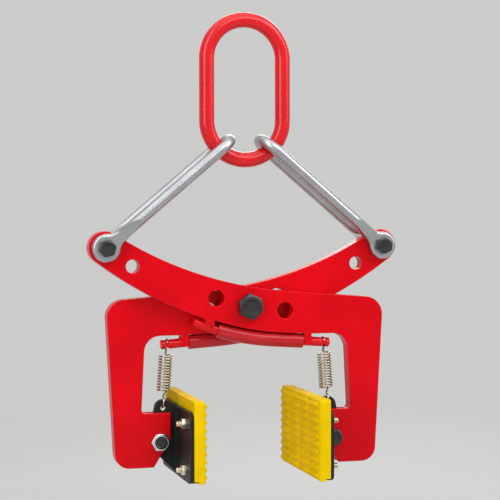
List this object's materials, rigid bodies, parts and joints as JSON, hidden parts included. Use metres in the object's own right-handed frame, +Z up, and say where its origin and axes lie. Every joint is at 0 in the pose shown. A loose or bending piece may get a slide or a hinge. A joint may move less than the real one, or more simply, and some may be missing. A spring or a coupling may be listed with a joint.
{
  "type": "vertical lifting clamp",
  "caption": "Scissor lifting clamp: crossed plate arms on a pivot, hung by bow links from an oblong master link, with sprung rubber gripping pads.",
  "frame": {"origin": "inside top of the master link, where the hook bears, in the mid-plane between the two arms", "axes": "+Z up along the hanging line, +X to the right jaw seen from the front, +Y to the rear arm"},
  "size_m": [0.336, 0.156, 0.4826],
  "materials": {
    "red_paint": "gloss signal red paint",
    "zinc_forging": "bright zinc plated",
    "black_bolt": "black oxide",
    "hose": "dark red hose",
    "yellow_pad": "moulded polyurethane",
    "black_paint": "satin black paint",
    "spring_wire": "bright zinc plated",
    "zinc_fastener": "bright zinc plated"
  },
  "bodies": {
    "master_link": {"master_link": "red_paint"},
    "left_link": {"left_link": "zinc_forging", "left_link_bolt": "black_bolt", "left_link_bush": "zinc_fastener", "left_link_nut": "zinc_fastener"},
    "front_arm": {"front_arm": "red_paint", "front_stop_rod": "red_paint", "front_sleeve": "hose", "pivot_bolt": "black_bolt", "pivot_spacer": "zinc_fastener", "pivot_washer": "zinc_fastener", "pivot_nut": "zinc_fastener", "right_jaw_bolt": "black_bolt", "right_jaw_nut": "zinc_fastener", "right_spring": "spring_wire"},
    "rear_arm": {"rear_arm": "red_paint", "rear_stop_rod": "red_paint", "rear_sleeve": "hose", "left_jaw_bolt": "black_bolt", "left_jaw_nut": "zinc_fastener", "left_spring": "spring_wire"},
    "right_link": {"right_link": "zinc_forging", "right_link_bolt": "black_bolt", "right_link_bush": "zinc_fastener", "right_link_nut": "zinc_fastener"},
    "right_jaw": {"right_pad_holder": "black_paint", "right_pad": "yellow_pad", "right_pad_studs": "zinc_fastener", "right_pad_nuts": "zinc_fastener"},
    "left_jaw": {"left_pad_holder": "black_paint", "left_pad": "yellow_pad", "left_pad_studs": "zinc_fastener", "left_pad_nuts": "zinc_fastener"}
  },
  "joints": [
    {"name": "left_link_swing", "type": "hinge", "parent": "master_link", "child": "left_link", "pos_m": [-0.01716, 0, -0.11745], "axis": [0, 1, 0], "range_deg": [-7.82, 5.59]},
    {"name": "front_arm_swing", "type": "hinge", "parent": "left_link", "child": "front_arm", "pos_m": [-0.151, -0.009, -0.22864], "axis": [0, 1, 0], "range_deg": [-15.59, 21.82]},
    {"name": "arm_pivot", "type": "hinge", "parent": "front_arm", "child": "rear_arm", "pos_m": [0, 0, -0.29064], "axis": [0, 1, 0], "range_deg": [-28, 20]},
    {"name": "right_link_swing", "type": "hinge", "parent": "rear_arm", "child": "right_link", "pos_m": [0.151, 0.009, -0.22864], "axis": [0, 1, 0], "range_deg": [-15.59, 21.82]},
    {"name": "right_jaw_tilt", "type": "hinge", "parent": "front_arm", "child": "right_jaw", "pos_m": [0.092, -0.009, -0.43065], "axis": [0, 1, 0], "range_deg": [-8, 8], "stiffness_Nm_per_rad": 8, "deforming": ["right_spring"]},
    {"name": "left_jaw_tilt", "type": "hinge", "parent": "rear_arm", "child": "left_jaw", "pos_m": [-0.092, 0.009, -0.43065], "axis": [0, 1, 0], "range_deg": [-8, 8], "stiffness_Nm_per_rad": 8, "deforming": ["left_spring"]}
  ],
  "couplings": [
    {"joint": "left_link_swing", "follows": "arm_pivot", "ratio": 0.2788},
    {"joint": "front_arm_swing", "follows": "arm_pivot", "ratio": -0.7788},
    {"joint": "right_link_swing", "follows": "arm_pivot", "ratio": -0.7788}
  ]
}
